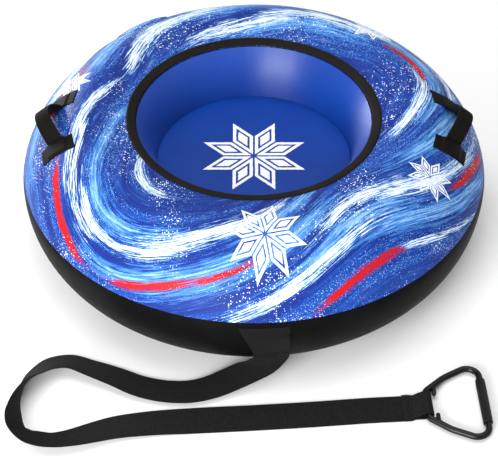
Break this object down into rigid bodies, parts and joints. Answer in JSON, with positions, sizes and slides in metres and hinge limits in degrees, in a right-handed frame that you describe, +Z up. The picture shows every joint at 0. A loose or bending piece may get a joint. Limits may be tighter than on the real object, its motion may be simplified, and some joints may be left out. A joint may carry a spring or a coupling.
{
  "type": "snow tube",
  "caption": "Inflatable ring-shaped snow tube with a padded seat well, webbing grab handles, covered air valve and a tow strap ending in a pull ring.",
  "frame": {"origin": "centre of the base sheet's underside, on the ground", "axes": "+Z up through the seat opening, -Y towards the side that the tow strap leaves from, +X to the right of a person who stands there"},
  "size_m": [0.8, 0.957, 0.2727],
  "materials": {
    "printed_pvc": "glossy film-printed PVC, royal blue with white and light-blue wind streaks and red flicks",
    "blue_pvc": "satin royal blue PVC sheet",
    "black_pvc": "satin black PVC sheet",
    "band_pvc": "matte black PVC, welded and fine-grained",
    "webbing": "black ribbed polyester webbing",
    "coated_steel": "black coated steel wire",
    "grip_rubber": "matte black rubber",
    "valve_plastic": "black moulded plastic"
  },
  "bodies": {
    "tube": {"top_skin": "printed_pvc", "lower_skin": "black_pvc", "inner_wall": "black_pvc", "seat_wall": "blue_pvc", "seat_weld_ring": "blue_pvc", "seat_floor": "blue_pvc", "base_sheet": "black_pvc", "rim_band": "band_pvc", "girth_seam_tape": "black_pvc", "left_handle_front_end": "webbing", "left_handle_back_end": "webbing", "left_handle_front_patch": "band_pvc", "left_handle_back_patch": "band_pvc", "right_handle_front_end": "webbing", "right_handle_back_end": "webbing", "right_handle_front_patch": "band_pvc", "right_handle_back_patch": "band_pvc", "tow_patch": "band_pvc", "tow_strap_tail": "webbing", "tow_strap": "webbing", "strap_end_loop": "webbing", "valve_base": "valve_plastic", "valve_tether": "grip_rubber", "valve_flap_weld": "printed_pvc"},
    "left_handle": {"left_handle_strap": "webbing"},
    "right_handle": {"right_handle_strap": "webbing"},
    "ring": {"pull_ring": "coated_steel"},
    "grip": {"grip_sleeve": "grip_rubber"},
    "valve_body": {"valve_insert": "valve_plastic"},
    "valve_disc": {"valve_check_disc": "grip_rubber"},
    "cap": {"valve_cap": "valve_plastic"},
    "flap": {"valve_flap": "printed_pvc"}
  },
  "joints": [
    {"name": "left_handle_swing", "type": "hinge", "parent": "tube", "child": "left_handle", "pos_m": [-0.34831, -0.00912, 0.24616], "axis": [0.0262, -0.9997, 0], "range_deg": [-40, 40], "stiffness_Nm_per_rad": 0.05},
    {"name": "right_handle_swing", "type": "hinge", "parent": "tube", "child": "right_handle", "pos_m": [0.34831, -0.00912, 0.24616], "axis": [0.0262, 0.9997, 0], "range_deg": [-40, 40], "stiffness_Nm_per_rad": 0.05},
    {"name": "pull_ring_hinge", "type": "hinge", "parent": "tube", "child": "ring", "pos_m": [0.283, -0.449, 0.0083], "axis": [0.0698, -0.9976, 0], "range_deg": [0, 120]},
    {"name": "grip_spin", "type": "hinge", "parent": "ring", "child": "grip", "pos_m": [0.37537, -0.44254, 0.0083], "axis": [0.0698, -0.9976, 0], "continuous": true},
    {"name": "valve_flap_hinge", "type": "hinge", "parent": "tube", "child": "flap", "pos_m": [-0.21951, 0.31002, 0.19034], "axis": [-0.8161, -0.5779, 0], "range_deg": [0, 120], "stiffness_Nm_per_rad": 0.03},
    {"name": "valve_body_turn", "type": "hinge", "parent": "tube", "child": "valve_body", "pos_m": [-0.20514, 0.28973, 0.21849], "axis": [-0.4102, 0.5793, 0.7044], "range_deg": [0, 350]},
    {"name": "valve_cap_turn", "type": "hinge", "parent": "valve_body", "child": "cap", "pos_m": [-0.20514, 0.28973, 0.21849], "axis": [-0.4102, 0.5793, 0.7044], "range_deg": [0, 350]},
    {"name": "check_disc_slide", "type": "slide", "parent": "valve_body", "child": "valve_disc", "axis": [0.4102, -0.5793, -0.7044], "range_m": [0, 0.0015], "stiffness_N_per_m": 3}
  ]
}
